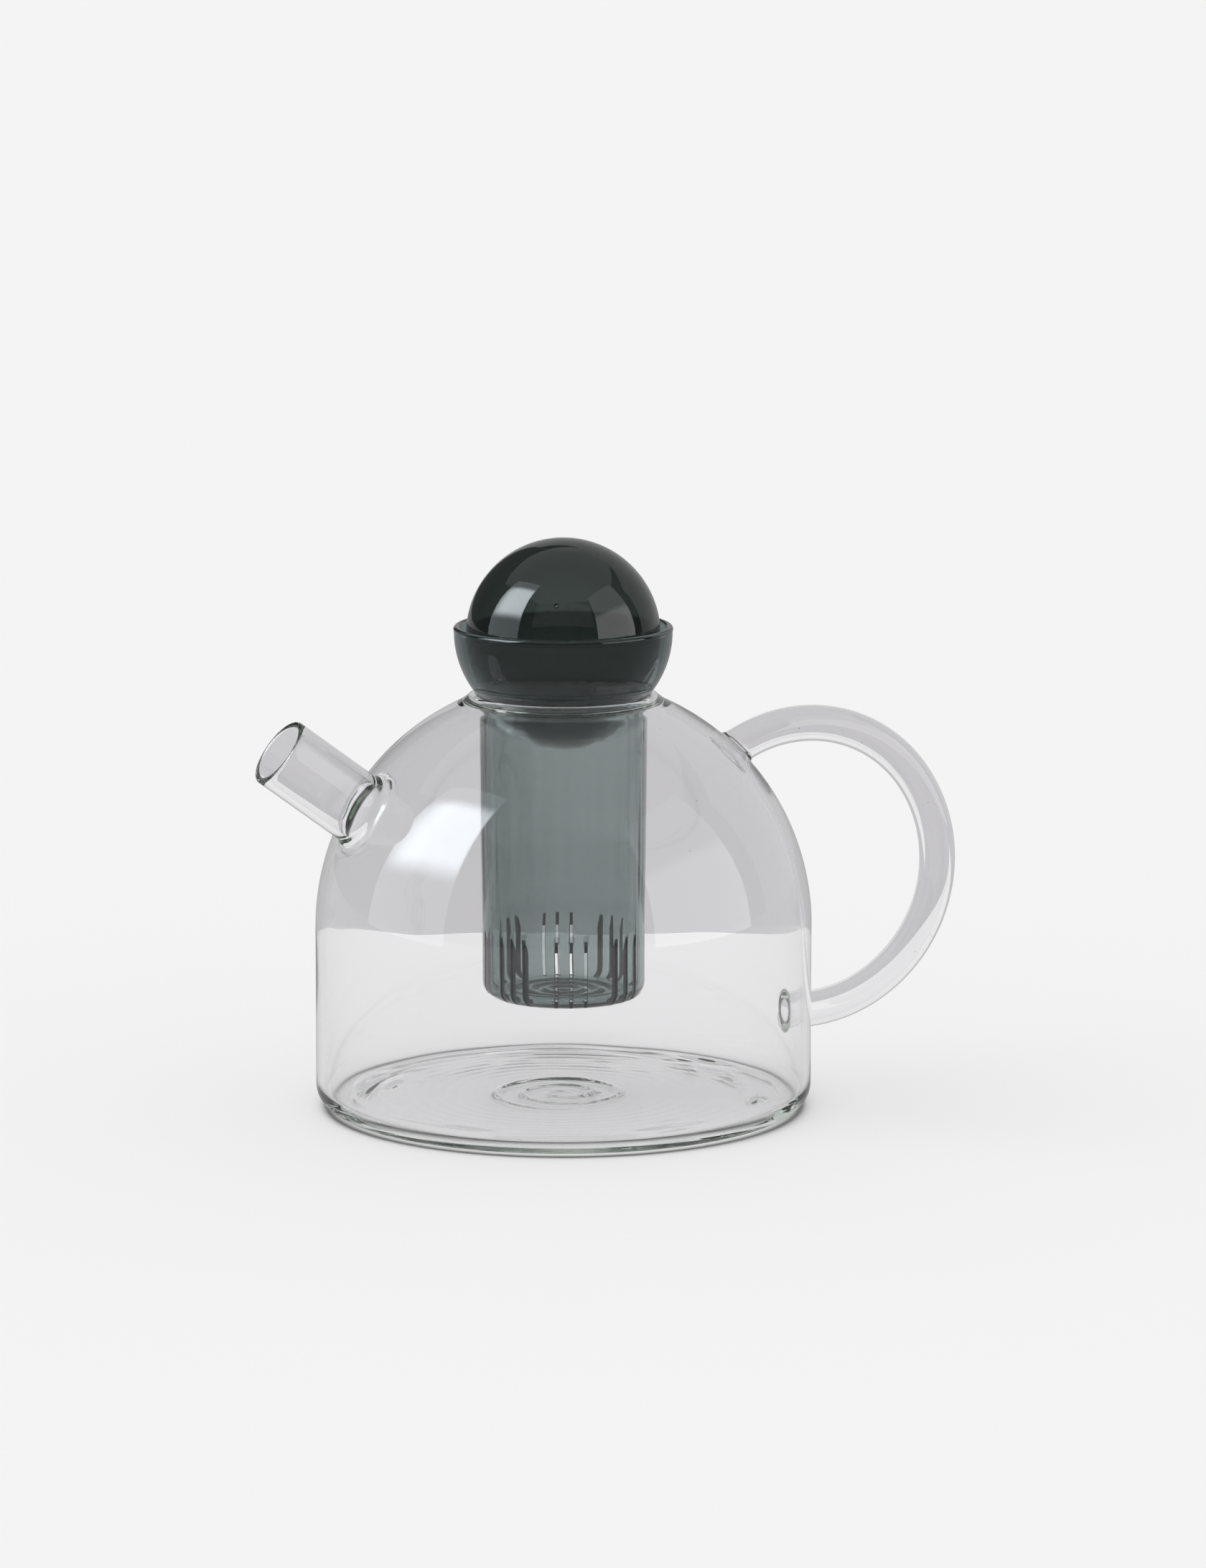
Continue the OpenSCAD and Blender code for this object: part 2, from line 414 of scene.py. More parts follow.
def let_in(surface, rows, on_skin):
    """Adds rows to a surface, and stitches the first of them into a hole cut in one of its skins."""
    rim = [Vector(p) for p in rows[0]]
    centre = sum(rim, Vector()) / len(rim)
    way = (rim[0] - centre).cross(rim[len(rim) // 4] - centre).normalized()
    limit = max((p - centre).length for p in rim) + 0.5 * WALL_STEP

    def near(p):
        return on_skin(p) and (p - centre).length < limit
    loop = surface.cut_hole(near)
    ids = [surface.row(row) for row in rows]
    surface.strips(ids)
    surface.stitch(loop, ids[0], angle_about(centre, way))
    return ids


def skin(wall):
    """Tells the points of one of the vessel's two skins."""
    return lambda p: abs(wall_distance(p, wall)) < ON_SKIN


def angle_about(centre, way):
    """Gives a point's angle round an axis."""
    across = way.orthogonal().normalized()
    other = way.cross(across).normalized()
    return lambda p: math.atan2((p - centre).dot(other), (p - centre).dot(across))


def vessel_outline():
    """The vessel's section (r, z), from the middle of the foot round to the middle of the floor."""
    foot_r, floor_r = BODY_R - FOOT_ROUND, BODY_IN_R - FOOT_IN_ROUND
    under = bend((0, FOOT_KICK), (1, 0), (foot_r, 0), (1, -0.02), 30)
    outer_stop = math.degrees(math.acos((RING_R + NECK_OUT) / BODY_R))
    inner_stop = math.degrees(math.acos((RING_R + NECK_IN) / BODY_IN_R))
    bead = arc((RING_R, BEAD_Z), BEAD_R, 42, 292, 22)
    outer_dome = arc((0, WALL_H), BODY_R, 0, outer_stop, 60)
    inner_dome = arc((0, WALL_H), BODY_IN_R, inner_stop, 0, 60)
    return joined(
        under,
        arc((foot_r, FOOT_ROUND), FOOT_ROUND, -90, 0, 12),
        line((BODY_R, FOOT_ROUND), (BODY_R, WALL_H), 28),
        outer_dome,
        bend(outer_dome[-1], heading(outer_dome, -2, -1), bead[0], heading(bead, 0, 1), 10),
        bead,
        bend(bead[-1], heading(bead, -2, -1), inner_dome[0], heading(inner_dome, 0, 1), 8),
        inner_dome,
        line((BODY_IN_R, WALL_H), (BODY_IN_R, FLOOR_T + FOOT_IN_ROUND), 28),
        arc((floor_r, FLOOR_T + FOOT_IN_ROUND), FOOT_IN_ROUND, 0, -90, 10),
        line((floor_r, FLOOR_T), (SWIRL_R, FLOOR_T), 70),
        line((SWIRL_R, FLOOR_T), (0, FLOOR_T), 44),
    )


def add_spout(surface):
    spout = Tube(spout_point, low=55 * MM, high=95 * MM, sides=96)
    bore = SPOUT_R - SPOUT_T
    outer, starts = spout.weld(SPOUT_R, BODY_R, reach=5.0 * MM, lift=3.4 * MM, lump=0.7 * MM)
    inner, stops = spout.weld(bore, BODY_IN_R, reach=3.4 * MM, lift=3.0 * MM, lump=0.3 * MM)
    lip = SPOUT_REACH - SPOUT_T / 2
    ends = [lip] * len(spout.angles)
    rows = outer + spout.between(starts, ends, SPOUT_R, 18)
    for k in range(LIP_STEPS + 1):
        turn = math.pi * k / LIP_STEPS
        rows.append([spout.point(lip + SPOUT_T / 2 * math.sin(turn), a,
                                 SPOUT_R - SPOUT_T / 2 * (1 - math.cos(turn))) for a in spout.angles])
    rows += spout.between(ends, stops, bore, 18)
    ids = let_in(surface, rows, skin(BODY_R))
    inner_ids = let_in(surface, inner, skin(BODY_IN_R))
    surface.strip(ids[-1], inner_ids[-1])


def add_handle(surface):
    """Fuses the handle's outer skin to the wall, and returns its bore as a closed cavity."""
    upper = Tube(handle_point, low=0, high=30 * MM, sides=96)
    lower = Tube(handle_point_back, low=0, high=30 * MM, sides=96)
    top, starts = upper.weld(HANDLE_R, BODY_R, reach=4.2 * MM, lift=2.8 * MM, lump=0.3 * MM)
    foot, stops = lower.weld(HANDLE_R, BODY_R, reach=1.8 * MM, lift=1.8 * MM, lump=0.1 * MM)
    stops = [HANDLE_LENGTH - s for s in stops]
    ids = let_in(surface, top + upper.between(starts, stops, HANDLE_R, HANDLE_RINGS), skin(BODY_R))
    foot_ids = let_in(surface, foot, skin(BODY_R))
    surface.strip(ids[-1], foot_ids[-1])

    bore = HANDLE_R - HANDLE_T
    hollow = Surface()
    first = upper.leaves(0, 0, BODY_R)
    last = HANDLE_LENGTH - lower.leaves(0, 0, BODY_R)
    start_slant = [upper.leaves(a, bore, BODY_R) for a in upper.angles]
    stop_slant = [HANDLE_LENGTH - lower.leaves(a, bore, BODY_R) for a in upper.angles]

    def cap(middle, slant, sign):
        out = [[upper.point(middle - sign * BORE_DOME, 0, 0)]]
        for k in range(1, CAP_STEPS):
            turn = math.pi / 2 * k / CAP_STEPS
            wide = math.sin(turn)
            out.append([upper.point(middle + (s - middle) * wide - sign * BORE_DOME * math.cos(turn), a,
                                    bore * wide) for a, s in zip(upper.angles, slant)])
        return out
    rows = cap(first, start_slant, 1)
    rows.append([upper.point(s, a, bore) for a, s in zip(upper.angles, start_slant)])
    rows += upper.between(start_slant, stop_slant, bore, HANDLE_RINGS)
    rows.append([upper.point(s, a, bore) for a, s in zip(upper.angles, stop_slant)])
    rows += cap(last, stop_slant, -1)[::-1]
    hollow.strips([hollow.row(row) for row in rows])
    return hollow


def smooth(value, start, stop):
    """Rises from 0 at start to 1 at stop without a corner."""
    t = min(max((value - start) / (stop - start), 0), 1)
    return t * t * (3 - 2 * t)


def blow(surface):
    """Gives a surface the slight unevenness of worked glass, another one inside than outside. WAVE_IN
    draws it in, so that it stays inside the CAD's box."""
    for i, p in enumerate(surface.points):
        p = Vector(p)
        out = Vector((p.x, p.y, max(p.z - WALL_H, 0)))
        if out.length < MM:
            continue
        layer = Vector((0, 0, 3 if out.length < BODY_R - GLASS_T / 2 else 0))
        uneven = WAVE * noise.noise(p * 16 + layer) + FINE_WAVE * noise.noise(p * 45 + layer) - WAVE_IN
        surface.points[i] = tuple(p + out.normalized() * uneven * MM * smooth(out.length, 0, BODY_IN_R / 2))


def floor_relief(p):
    """Raises a point of the floor's upper side: ripples, thicker patches at the edge, and the
    spiral that the glassworker's rod leaves at the centre."""
    r, turn = math.hypot(p.x, p.y), math.atan2(p.y, p.x)
    if abs(p.z - FLOOR_T) > ON_FLOOR:
        return p
    ripple = RIPPLE_H * math.sin(math.tau * r / RIPPLE + 3 * noise.noise(p * 22))
    ripple *= smooth(r, 0.8 * SWIRL_R, 1.4 * SWIRL_R) * (0.6 + 0.6 * noise.noise(p * 30))
    patch = PATCH_H * noise.noise(Vector((2.2 * math.cos(turn), 2.2 * math.sin(turn), r * 40)))
    streak = noise.noise(Vector((2.5 * math.cos(turn), 2.5 * math.sin(turn), r * 200)))
    streak *= max(noise.noise(Vector((2 * math.cos(turn), 2 * math.sin(turn), 7))) + 0.15, 0)
    patch += STREAK_H * streak * (1 - smooth(r, 0.84 * BODY_R, 0.9 * BODY_R))
    patch *= smooth(r, 0.6 * BODY_R, 0.86 * BODY_R)
    arm = r / SWIRL_PITCH - turn / math.tau
    off = abs(arm - round(arm)) * SWIRL_PITCH
    swirl = SWIRL_H * math.exp(-(off / SWIRL_WIDE) ** 2) * (1 - smooth(r, 0.7 * SWIRL_R, 0.9 * SWIRL_R))
    swirl *= smooth(r, 0, SWIRL_PITCH / 2) * (0.8 + 0.8 * noise.noise(p * 60))
    dimple = DIMPLE_H * math.exp(-((p - DIMPLE).length / DIMPLE_R) ** 2)
    return p + Vector((0, 0, (ripple + patch + swirl + dimple) * MM))


def bubble(surface, centre, size):
    """Adds a tiny closed ball."""
    rows = []
    for k in range(BUBBLE_RINGS + 1):
        down = math.pi * k / BUBBLE_RINGS
        sides = 1 if k in (0, BUBBLE_RINGS) else BUBBLE_SIDES
        ways = [Vector((math.sin(down) * math.cos(a), math.sin(down) * math.sin(a), math.cos(down)))
                for a in (math.tau * n / sides for n in range(sides))]
        rows.append(surface.row(centre + way * size for way in ways))
    surface.strips(rows)


def seeds():
    """Tiny bubbles in the wall of the dome and of the handle, each a closed cavity."""
    surface = Surface()
    chance = random.Random(11)
    middle = BODY_R - GLASS_T / 2
    for k in range(SEEDS):
        if k % 2:
            p = handle_point(HANDLE_LENGTH * chance.uniform(0.12, 0.88), chance.uniform(0, math.tau),
                             HANDLE_R - HANDLE_T / 2)
        else:
            turn, rise = chance.uniform(0, math.tau), chance.uniform(0.1, 1.0)
            p = Vector((math.cos(turn) * math.cos(rise), math.sin(turn) * math.cos(rise), math.sin(rise)))
            p = p * middle + Vector((0, 0, WALL_H))
        bubble(surface, p, chance.uniform(0.10, 0.24) * MM)
    return surface


def make_vessel(material):
    surface = Surface()
    surface.strips(turned(surface, vessel_outline(), RINGS, floor_relief))
    add_spout(surface)
    hollow = add_handle(surface)
    blow(surface)
    blow(hollow)
    return build("blown_vessel", [(surface, False), (hollow, True), (seeds(), True)], [material])


# ---- The infuser ----

def saw_gap(r, z):
    """How far a point of the section lies outside the path of the round saw."""
    return math.hypot(r - SAW_X, z - SAW_Z) - SAW_R


def saw_meets(point, low, high):
    """The value at which a run of points, point(value), enters the saw's path."""
    rising = saw_gap(*point(high)) > 0
    for _ in range(SAW_HALVINGS):
        middle = (low + high) / 2
        if (saw_gap(*point(middle)) > 0) == rising:
            high = middle
        else:
            low = middle
    return (low + high) / 2


def infuser_outline():
    """Runs of the section (r, z): under the floor, the outside that is sawn, the rest of the outside
    and the inside down to the cuts, the inside that is sawn, and the floor's upper side."""
    foot_r = INFUSER_FLOOR_R - INFUSER_ROUND
    foot_z = INFUSER_FLOOR_Z + INFUSER_ROUND
    in_round = INFUSER_ROUND - INFUSER_T
    in_z = INFUSER_FLOOR_Z + INFUSER_FLOOR_T + in_round

    def corner(centre, radius):
        return lambda turn: (centre[0] + radius * math.cos(math.radians(turn)),
                             centre[1] + radius * math.sin(math.radians(turn)))

    def side(offset):
        slope = (INFUSER_R - INFUSER_FLOOR_R) / (NECK_Z - foot_z)
        return lambda z: (INFUSER_FLOOR_R - offset + slope * (z - foot_z), z)
    outside, inside = side(0), side(INFUSER_T)
    out_corner = corner((foot_r, foot_z), INFUSER_ROUND)
    in_corner = corner((foot_r, in_z), in_round)
    out_end = saw_meets(out_corner, -90, 0)
    in_end = saw_meets(in_corner, -90, 0)
    out_top = saw_meets(outside, foot_z, NECK_Z)
    in_top = saw_meets(inside, in_z, NECK_Z)

    bowl_out = arc((BOWL_CURVE_X, BOWL_Z), BOWL_CURVE_R, NECK_TURN + 4, 0, 30)
    bowl_in = arc((BOWL_CURVE_X, BOWL_Z), BOWL_CURVE_R - INFUSER_T, 0, NECK_TURN + 1, 30)
    lip_r = INFUSER_T / 2 + LIP_BEAD
    lip = arc((BOWL_CURVE_X + BOWL_CURVE_R - INFUSER_T / 2, BOWL_RIM_Z), lip_r, -20, 200, 14)
    under = line((0, INFUSER_FLOOR_Z), (foot_r, INFUSER_FLOOR_Z), 14)
    under += [out_corner(-90 + (out_end + 90) * k / 3) for k in range(1, 4)]
    sawn_out = [out_corner(out_end * (1 - k / 8)) for k in range(9)]
    sawn_out += [outside(foot_z + (out_top - foot_z) * k / 12) for k in range(1, 13)]
    sawn_in = [in_corner(in_end * (1 - k / 8)) for k in range(9)]
    sawn_in += [inside(in_z + (in_top - in_z) * k / 12) for k in range(1, 13)]
    upper_out = [outside(out_top + (NECK_Z - NECK_REACH - out_top) * k / 36) for k in range(37)]
    lower_in = [inside(NECK_IN_Z - NECK_IN_REACH + (in_top - NECK_IN_Z + NECK_IN_REACH) * k / 36)
                for k in range(37)]
    rest = joined(
        upper_out,
        bend(upper_out[-1], (0, 1), bowl_out[0], heading(bowl_out, 0, 1), 8),
        bowl_out,
        [(BOWL_CURVE_X + BOWL_CURVE_R, BOWL_RIM_Z - 0.8 * MM)],
        lip,
        bowl_in,
        bend(bowl_in[-1], heading(bowl_in, -2, -1), lower_in[0], (0, -1), 6),
        lower_in,
    )
    floor = [in_corner(-90 + (in_end + 90) * k / 3) for k in range(2, -1, -1)]
    floor += line((foot_r, in_z - in_round), (0, in_z - in_round), 24)[1:]
    return under, sawn_out, rest[1:-1], sawn_in[::-1], floor


def slot_columns():
    """How far across its group each column of points lies, and which columns a cut starts at."""
    half = SLOT_W / 2
    across, cut = [], []
    for k in range(-1, 2):
        if across:
            start = across[-1]
            across += [start + (k * SLOT_PITCH - half - start) * i / 6 for i in range(1, 6)]
        across.append(k * SLOT_PITCH - half)
        cut.append(len(across) - 1)
        across.append(k * SLOT_PITCH + half)
    return across, cut


def drawn_line(r, angle, z):
    """How far the drawn tube's skin is off its circle here. Its bore is off centre too."""
    where = Vector((9 * math.cos(angle), 9 * math.sin(angle), z * 14 + (r < INFUSER_FLOOR_R - MM)))
    along = smooth(z, INFUSER_FLOOR_Z + SLOT_H, INFUSER_FLOOR_Z + 2 * SLOT_H)
    off = LINE_H * noise.noise(where) * along * (1 - smooth(z, NECK_Z - 4 * MM, NECK_Z))
    if r > INFUSER_FLOOR_R - MM or z > NECK_Z:
        return off * MM
    return (off - BORE_OFF * math.cos(angle - THICK_SIDE) * smooth(r, INFUSER_R / 2, 0.9 * INFUSER_R)) * MM


def floor_ring(r, z):
    """How high the rings on the upper side of the infuser's floor are here."""
    if abs(z - INFUSER_FLOOR_Z - INFUSER_FLOOR_T) > ON_FLOOR:
        return 0
    fade = 1 - smooth(r, 0.6 * INFUSER_R, 0.72 * INFUSER_R)
    return TURNING_H * math.cos(math.tau * r / TURNING_PITCH) * fade


def make_infuser(glass_material, ground_material):
    under, sawn_out, rest, sawn_in, floor = infuser_outline()
    outline = under[:-1] + sawn_out + rest + sawn_in + floor
    first_out = len(under) - 1
    last_out = first_out + len(sawn_out) - 1
    first_in = last_out + len(rest) + 1
    last_in = first_in + len(sawn_in) - 1
    across, cut = slot_columns()
    edge = math.asin(across[-1] / INFUSER_FLOOR_R)
    sector = math.tau / SLOT_GROUPS
    columns = []
    cut_columns = set()
    for group in range(SLOT_GROUPS):
        turn = SLOT_START + group * sector
        cut_columns.update(len(columns) + c for c in cut)
        columns += [(turn, y, 0) for y in across]
        columns += [(turn, across[-1], (sector - 2 * edge) * k / GAP_COLUMNS)
                    for k in range(1, GAP_COLUMNS)]

    surface = Surface()
    rows = []
    for r, z in outline:
        if r < 1e-6:
            rows.append(surface.row([(0, 0, z)]))
            continue
        reach = max(r, SECTOR_R)
        ring = []
        for turn, y, more in columns:
            angle = turn + math.asin(y / reach)
            if more:
                gap = sector - 2 * math.asin(across[-1] / reach)
                angle += gap * more / (sector - 2 * edge)
            wide = r + drawn_line(r, angle, z)
            ring.append((wide * math.cos(angle), wide * math.sin(angle), z + floor_ring(r, z)))
        rows.append(surface.row(ring))
    n = len(columns)
    for k, (a, b) in enumerate(zip(rows, rows[1:])):
        sawn = first_out <= k < last_out or first_in <= k < last_in
        if len(a) == 1 or len(b) == 1 or not sawn:
            surface.strip(a, b)
            continue
        for i in range(n):
            if i not in cut_columns:
                surface.faces.append((a[i], a[(i + 1) % n], b[(i + 1) % n], b[i]))
    outer = rows[first_out:last_out + 1]
    inner = rows[first_in:last_in + 1][::-1]
    whole = len(surface.faces)
    for c in sorted(cut_columns):
        d = (c + 1) % n
        for k in range(len(outer) - 1):
            for side in (c, d):
                surface.faces.append((outer[k][side], outer[k + 1][side], inner[k + 1][side], inner[k][side]))
        for k in (0, len(outer) - 1):
            surface.faces.append((outer[k][c], outer[k][d], inner[k][d], inner[k][c]))
    surface.ground = range(whole, len(surface.faces))
    return build("slotted_infuser", [(surface, False)], [glass_material, ground_material])


# ---- The ball ----

def ball_outline(inset):
    """The ball's section (r, z) with its plug, made smaller all round by inset."""
    radius, plug, end = BALL_R - inset, PLUG_R - inset, PLUG_END_R - inset
    waist = -math.degrees(math.acos(plug / radius))
    corner = -math.degrees(math.acos(plug / end))
    upper = arc((0, BALL_Z), radius, 90, waist + 2, 60)
    lower = arc((0, PLUG_END_Z), end, corner - 3, -90, 24)
    drop, end_drop = math.sqrt(radius ** 2 - plug ** 2), math.sqrt(end ** 2 - plug ** 2)
    side = (plug, (BALL_Z - drop + PLUG_END_Z - end_drop) / 2)
    return joined(
        upper,
        bend(upper[-1], heading(upper, -2, -1), side, (0, -1), 6),
        bend(side, (0, -1), lower[0], heading(lower, 0, 1), 8),
        lower,
    )


def make_ball(material):
    """A hollow ball, its two skins joined through the vent."""
    surface = Surface()
    inner_r = BALL_R - BALL_T
    surface.strips(turned(surface, ball_outline(0), BALL_SEGMENTS))
    surface.strips(turned(surface, ball_outline(BALL_T), BALL_SEGMENTS))
    centre, way = Vector((0, 0, BALL_Z)), Vector(VENT_WAY).normalized()
    across = way.orthogonal().normalized()
    other = way.cross(across)

    def ring(radius, wide):
        out = way * math.sqrt(radius ** 2 - wide ** 2)
        return [centre + out + (across * math.cos(a) + other * math.sin(a)) * wide
                for a in (math.tau * k / VENT_SIDES for k in range(VENT_SIDES))]

    def on(radius):
        return lambda p: abs((p - centre).length - radius) < ON_SKIN
    outer = [ring(BALL_R, w * VENT_R) for w in VENT_RINGS]
    outer += [ring(BALL_R - 0.1 * MM, 1.08 * VENT_R), ring(BALL_R - 0.3 * MM, VENT_R)]
    inner = [ring(inner_r, w * VENT_R) for w in VENT_RINGS]
    inner += [ring(inner_r + 0.1 * MM, 1.08 * VENT_R), ring(inner_r + 0.3 * MM, VENT_R)]
    ids = let_in(surface, outer, on(BALL_R))
    inner_ids = let_in(surface, inner, on(inner_r))
    surface.strip(ids[-1], inner_ids[-1])
    return build("ball_glass", [(surface, False)], [material])


# ---- Materials ----

def glass(name, tint, density, colour=(1, 1, 1, 1)):
    """Glass whose depth of colour comes from its thickness."""
    material = bpy.data.materials.new(name)
    material.use_nodes = True
    nodes, links = material.node_tree.nodes, material.node_tree.links
    shader = nodes["Principled BSDF"]
    shader.inputs["Base Color"].default_value = colour
    shader.inputs["Roughness"].default_value = 0.0
    shader.inputs["IOR"].default_value = 1.47
    shader.inputs["Transmission Weight"].default_value = 1.0
    depth = nodes.new("ShaderNodeVolumeAbsorption")
    depth.inputs["Color"].default_value = (*tint, 1)
    depth.inputs["Density"].default_value = density
    links.new(depth.outputs["Volume"], nodes["Material Output"].inputs["Volume"])
    return material


def paint_bowl_shade(material):
    """Tints the infuser's bowl darker than its tube, by height: painted shade on the bowl round the ball."""
    nodes, links = material.node_tree.nodes, material.node_tree.links
    place = nodes.new("ShaderNodeTexCoord")
    split = nodes.new("ShaderNodeSeparateXYZ")
    height = nodes.new("ShaderNodeMapRange")
    height.inputs["From Min"].default_value = NECK_Z - 2 * MM
    height.inputs["From Max"].default_value = NECK_Z + 3 * MM
    tone = nodes.new("ShaderNodeValToRGB")
    tone.color_ramp.elements[0].color = (1, 1, 1, 1)
    # The bowl's darker end of the ramp is painted shade.
    tone.color_ramp.elements[1].color = (0.6, 0.645, 0.635, 1)
    links.new(place.outputs["Object"], split.inputs[0])
    links.new(split.outputs["Z"], height.inputs["Value"])
    links.new(height.outputs["Result"], tone.inputs["Fac"])
    links.new(tone.outputs["Color"], nodes["Principled BSDF"].inputs["Base Color"])


def ground_glass(name):
    """The matt grey skin that a saw leaves on smoked glass."""
    material = bpy.data.materials.new(name)
    material.use_nodes = True
    nodes, links = material.node_tree.nodes, material.node_tree.links
    shader = nodes["Principled BSDF"]
    shader.inputs["Roughness"].default_value = 0.5
    place = nodes.new("ShaderNodeTexCoord")
    marks = nodes.new("ShaderNodeTexNoise")
    marks.inputs["Scale"].default_value = 900.0
    marks.inputs["Detail"].default_value = 4.0
    tone = nodes.new("ShaderNodeValToRGB")
    tone.color_ramp.elements[0].color = (0.018, 0.026, 0.026, 1)
    tone.color_ramp.elements[1].color = (0.06, 0.075, 0.075, 1)
    bump = nodes.new("ShaderNodeBump")
    bump.inputs["Strength"].default_value = 0.4
    bump.inputs["Distance"].default_value = 0.1 * MM
    links.new(place.outputs["Object"], marks.inputs["Vector"])
    links.new(marks.outputs["Fac"], tone.inputs["Fac"])
    links.new(tone.outputs["Color"], shader.inputs["Base Color"])
    links.new(marks.outputs["Fac"], bump.inputs["Height"])
    links.new(bump.outputs["Normal"], shader.inputs["Normal"])
    return material


def plain(name, colour):
    material = bpy.data.materials.new(name)
    material.use_nodes = True
    shader = material.node_tree.nodes["Principled BSDF"]
    shader.inputs["Base Color"].default_value = (*colour, 1)
    shader.inputs["Roughness"].default_value = 1.0
    shader.inputs["Specular IOR Level"].default_value = 0.0
    return material


# ---- Studio ----

def staged(piece, rays):
    """Lets only these kinds of ray meet a piece of the studio."""
    for kind in ("camera", "diffuse", "glossy", "transmission", "shadow", "volume_scatter"):
        setattr(piece, "visible_" + kind, kind in rays)


def panel(name, centre, size, facing, material, rays):
    """A flat rectangle of the studio that faces a point."""
    data = bpy.data.meshes.new(name)
    w, h = size[0] / 2, size[1] / 2
    data.from_pydata([(-w, -h, 0), (w, -h, 0), (w, h, 0), (-w, h, 0)], [], [(0, 1, 2, 3)])
    data.materials.append(material)
    piece = bpy.data.objects.new(name, data)
    bpy.context.scene.collection.objects.link(piece)
    piece.location = centre
    piece.rotation_euler = (Vector(facing) - Vector(centre)).to_track_quat("Z", "Y").to_euler()
    staged(piece, rays)


def room(name, radius, glow, rays):
    """A ball of even light round everything."""
    surface = Surface()
    surface.strips(turned(surface, arc((0, 0), radius, 90, -90, 24), 48))
    light = soft_light(name, (glow, glow, glow), 1.0, 0.0)
    staged(build(name, [(surface, False)], [light]), rays)


def soft_light(name, colour, low_glow, glow, across=(-1, 0, 1, 2), up=(-1, 0, 1, 2)):
    """A panel's light: low_glow all over, and glow more inside a soft-edged patch. across and up each
    give where the patch starts, is full, starts to fade and ends, as shares of the panel."""
    material = bpy.data.materials.new(name)
    material.use_nodes = True
    nodes, links = material.node_tree.nodes, material.node_tree.links
    nodes.remove(nodes["Principled BSDF"])
    lamp = nodes.new("ShaderNodeEmission")
    lamp.inputs["Color"].default_value = (*colour, 1)
    place = nodes.new("ShaderNodeTexCoord")
    split = nodes.new("ShaderNodeSeparateXYZ")
    links.new(place.outputs["Generated"], split.inputs[0])

    def maths(operation, a, b):
        node = nodes.new("ShaderNodeMath")
        node.operation = operation
        for socket, value in zip(node.inputs, (a, b)):
            if isinstance(value, (int, float)):
                socket.default_value = value
            else:
                links.new(value, socket)
        return node.outputs[0]

    def rise(source, start, stop):
        node = nodes.new("ShaderNodeMapRange")
        node.interpolation_type = "SMOOTHSTEP"
        links.new(source, node.inputs["Value"])
        node.inputs["From Min"].default_value = start
        node.inputs["From Max"].default_value = stop
        return node.outputs["Result"]
    patch = maths("MULTIPLY", 1.0, glow)
    for source, (start, full, fade, end) in ((split.outputs["X"], across), (split.outputs["Y"], up)):
        patch = maths("MULTIPLY", patch, rise(source, start, full))
        patch = maths("MULTIPLY", patch, maths("SUBTRACT", 1.0, rise(source, fade, end)))
    links.new(maths("ADD", patch, low_glow), lamp.inputs["Strength"])
    material.cycles.emission_sampling = "NONE"
    links.new(lamp.outputs[0], nodes["Material Output"].inputs["Surface"])
    return material


CAMERA_TURN = -20.47
CAMERA_AWAY = 1.922
CAMERA_Z = 0.4362
AIM_SIDE = 11.9 * MM
AIM_Z = 98.0 * MM
LENS = 148.93
SENSOR = 36

WHITE = (1, 1, 1)
WORLD_GREY = 0.913
ROOM_SEEN_R = 9
ROOM_SEEN_GREY = 0.60
ROOM_MIRRORED_R = 9.5
ROOM_MIRRORED_GREY = 0.08
FLOOR_SIZE = (40, 40)
FLOOR_Z = -0.2 * MM
FLOOR_GREY = 0.9
FLOOR_MIRRORED_Z = -0.25 * MM
FLOOR_MIRRORED_GLOW = 0.4
BACK_WALL = 0.263
BACK_WALL_GLOW = 0.59
BACK_WALL_COLOUR = (1, 0.99, 1.01)
WINDOW_SIDE = -48
WINDOW_COLOUR = (0.88, 0.96, 1.0)
WINDOW_ALONG = 0.912
FILL_SIDE = 68
CEILING_GLOW = 0.5
FRONT_GLOW = 0.32
BACK_GLOW = 0.5
SHADE_R = 1.6 * MM
SHADE_GREY = 0.2
KEY_SIDE = -85


def grey(level):
    return (level, level, level)


def place(away, side, up):
    """A point at a distance from the pot's axis, side degrees round to the right from the camera."""
    turn = math.radians(CAMERA_TURN + side)
    return Vector((away * math.sin(turn), -away * math.cos(turn), up))


def even_light(name, glow, colour=WHITE):
    return soft_light(name, colour, glow, 0.0)


def surroundings():
    """The world, the two rooms that only the glass meets, the floor and the grey wall behind the pot."""
    world = bpy.data.worlds.new("studio")
    bpy.context.scene.world = world
    world.use_nodes = True
    world.node_tree.nodes["Background"].inputs["Color"].default_value = (*grey(WORLD_GREY), 1)
    room("room_seen_through", ROOM_SEEN_R, ROOM_SEEN_GREY, ("transmission",))
    room("room_mirrored", ROOM_MIRRORED_R, ROOM_MIRRORED_GREY, ("glossy",))
    panel("floor", (0, 0, FLOOR_Z), FLOOR_SIZE, (0, 0, 1), plain("floor", grey(FLOOR_GREY)),
          ("camera", "diffuse", "transmission", "shadow"))
    panel("floor_mirrored", (0, 0, FLOOR_MIRRORED_Z), FLOOR_SIZE, (0, 0, 1),
          even_light("floor_mirrored", FLOOR_MIRRORED_GLOW), ("glossy",))
    panel("back_wall", place(BACK_WALL, 180, 1.0), (6, 2.0), place(0, 0, 1.0),
          even_light("grey_wall", BACK_WALL_GLOW, BACK_WALL_COLOUR), ("transmission",))


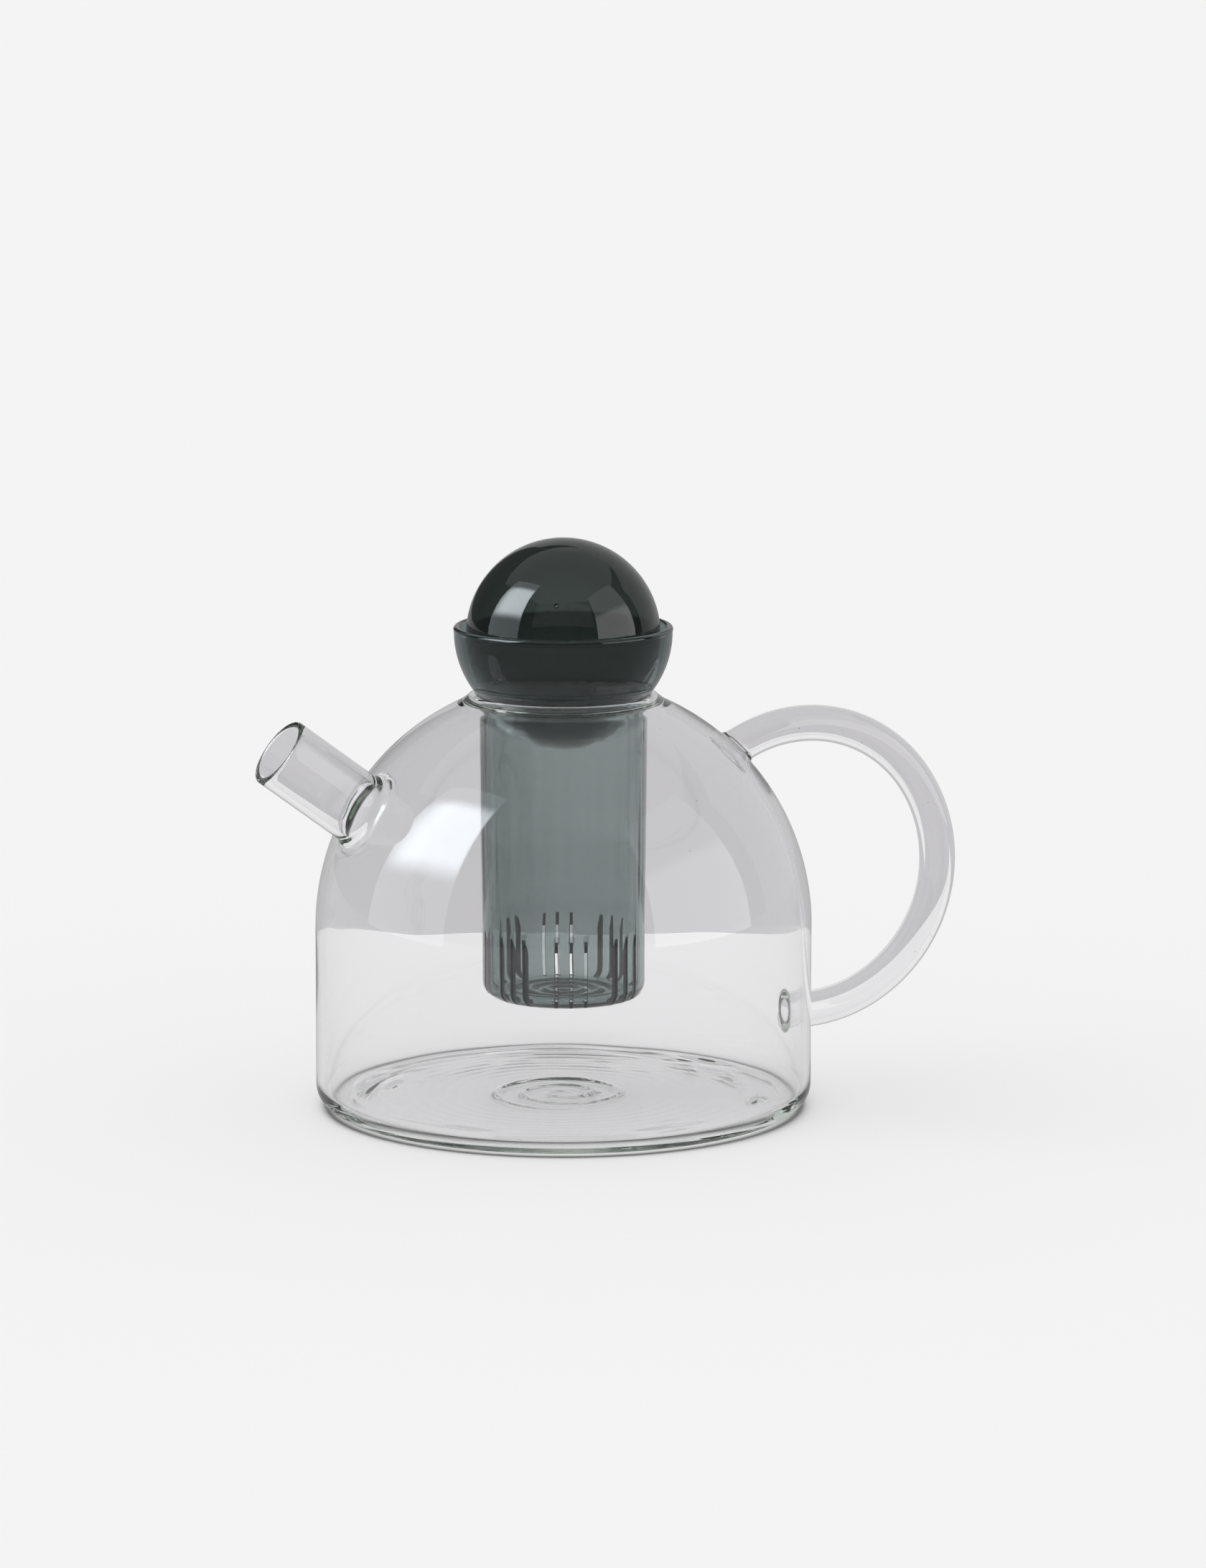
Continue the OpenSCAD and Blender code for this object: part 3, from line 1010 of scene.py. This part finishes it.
def mirrored_lights():
    """The panels that the glass mirrors: a window, a lighter wall, a ceiling, the front and the back."""
    window = soft_light("window", WINDOW_COLOUR, low_glow=1.7, glow=10.0,
                        across=(-0.01, 0.03, 0.55, 1.15), up=(0.22, 0.34, 0.66, 0.82))
    middle = place(1.3, WINDOW_SIDE, 1.3) + place(WINDOW_ALONG, WINDOW_SIDE - 90, 0)
    panel("window", middle, (1.504, 2.6), middle - place(1, WINDOW_SIDE, 0), window, ("glossy",))
    fill = soft_light("fill", WHITE, low_glow=1.0, glow=1.2, up=(-1, 0, 0.42, 0.52))
    panel("fill", place(1.5, FILL_SIDE, 1.0), (1.5, 2.0), place(0, 0, 1.0), fill, ("glossy",))
    panel("ceiling", (0, 0, 2.6), (4.7, 4.7), (0, 0, 0), even_light("ceiling", CEILING_GLOW), ("glossy",))
    panel("front_light", place(1.5, 0, 1.2), (2.4, 1.1), place(0, 0, 1.2),
          even_light("front_light", FRONT_GLOW), ("glossy",))
    panel("back_light", place(2.5, 150, 1.25), (4.6, 2.5), place(0, 0, 1.25),
          even_light("back_light", BACK_GLOW), ("glossy",))


def foot_shade():
    """A hidden ring at the pot's edge, in place of a contact shadow, since the vessel's own is off."""
    ring = Surface()
    foot = arc((BODY_R - 3 * MM, 1.7 * MM), SHADE_R, 0, 360, 16)
    rows = turned(ring, foot[:-1], 96)
    ring.strips(rows + rows[:1])
    shade = build("foot_shade", [(ring, False)], [plain("foot_shade", grey(SHADE_GREY))])
    staged(shade, ("diffuse", "shadow"))


def key_light():
    """A soft sun from the left, which isn't mirrored."""
    sun = bpy.data.lights.new("key", "SUN")
    sun.energy = 0.5
    sun.angle = math.radians(50)
    key = bpy.data.objects.new("key", sun)
    key.rotation_euler = place(1, KEY_SIDE, 0.7).to_track_quat("Z", "Y").to_euler()
    bpy.context.scene.collection.objects.link(key)
    key.visible_glossy = False


def camera():
    turn = math.radians(CAMERA_TURN)
    data = bpy.data.cameras.new("camera")
    data.lens = LENS
    data.sensor_width = SENSOR
    data.clip_end = 60
    view = bpy.data.objects.new("camera", data)
    bpy.context.scene.collection.objects.link(view)
    aim = Vector((AIM_SIDE * math.cos(turn), AIM_SIDE * math.sin(turn), AIM_Z))
    view.location = (CAMERA_AWAY * math.sin(turn), -CAMERA_AWAY * math.cos(turn), CAMERA_Z)
    view.rotation_euler = (aim - view.location).to_track_quat("-Z", "Y").to_euler()
    bpy.context.scene.camera = view


# ---- The scene ----

camera()
surroundings()
mirrored_lights()
foot_shade()
key_light()
clear = glass("clear_glass", tint=(0.5, 0.75, 0.5), density=4.0, colour=(0.962, 0.956, 0.965, 1))
smoke = glass("smoked_glass", tint=(0.35, 0.45, 0.44), density=545.0)
# Painted shade on the infuser's bowl round the ball.
paint_bowl_shade(smoke)
dark = glass("dark_glass", tint=(0.08, 0.17, 0.13), density=850.0)

vessel = make_vessel(clear)
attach(vessel, "vessel")
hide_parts(*VESSEL_NODES)
vessel.visible_shadow = False
vessel.visible_diffuse = False

infuser = make_infuser(smoke, ground_glass("ground_glass"))
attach(infuser, "infuser")
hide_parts("infuser_bowl", "infuser_tube")

ball = make_ball(dark)
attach(ball, "lid")
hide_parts("ball_lid")

scene = bpy.context.scene
scene.view_settings.view_transform = "Standard"
scene.cycles.max_bounces = 32
scene.cycles.transmission_bounces = 32
scene.cycles.glossy_bounces = 32
scene.cycles.caustics_reflective = False
scene.cycles.caustics_refractive = False
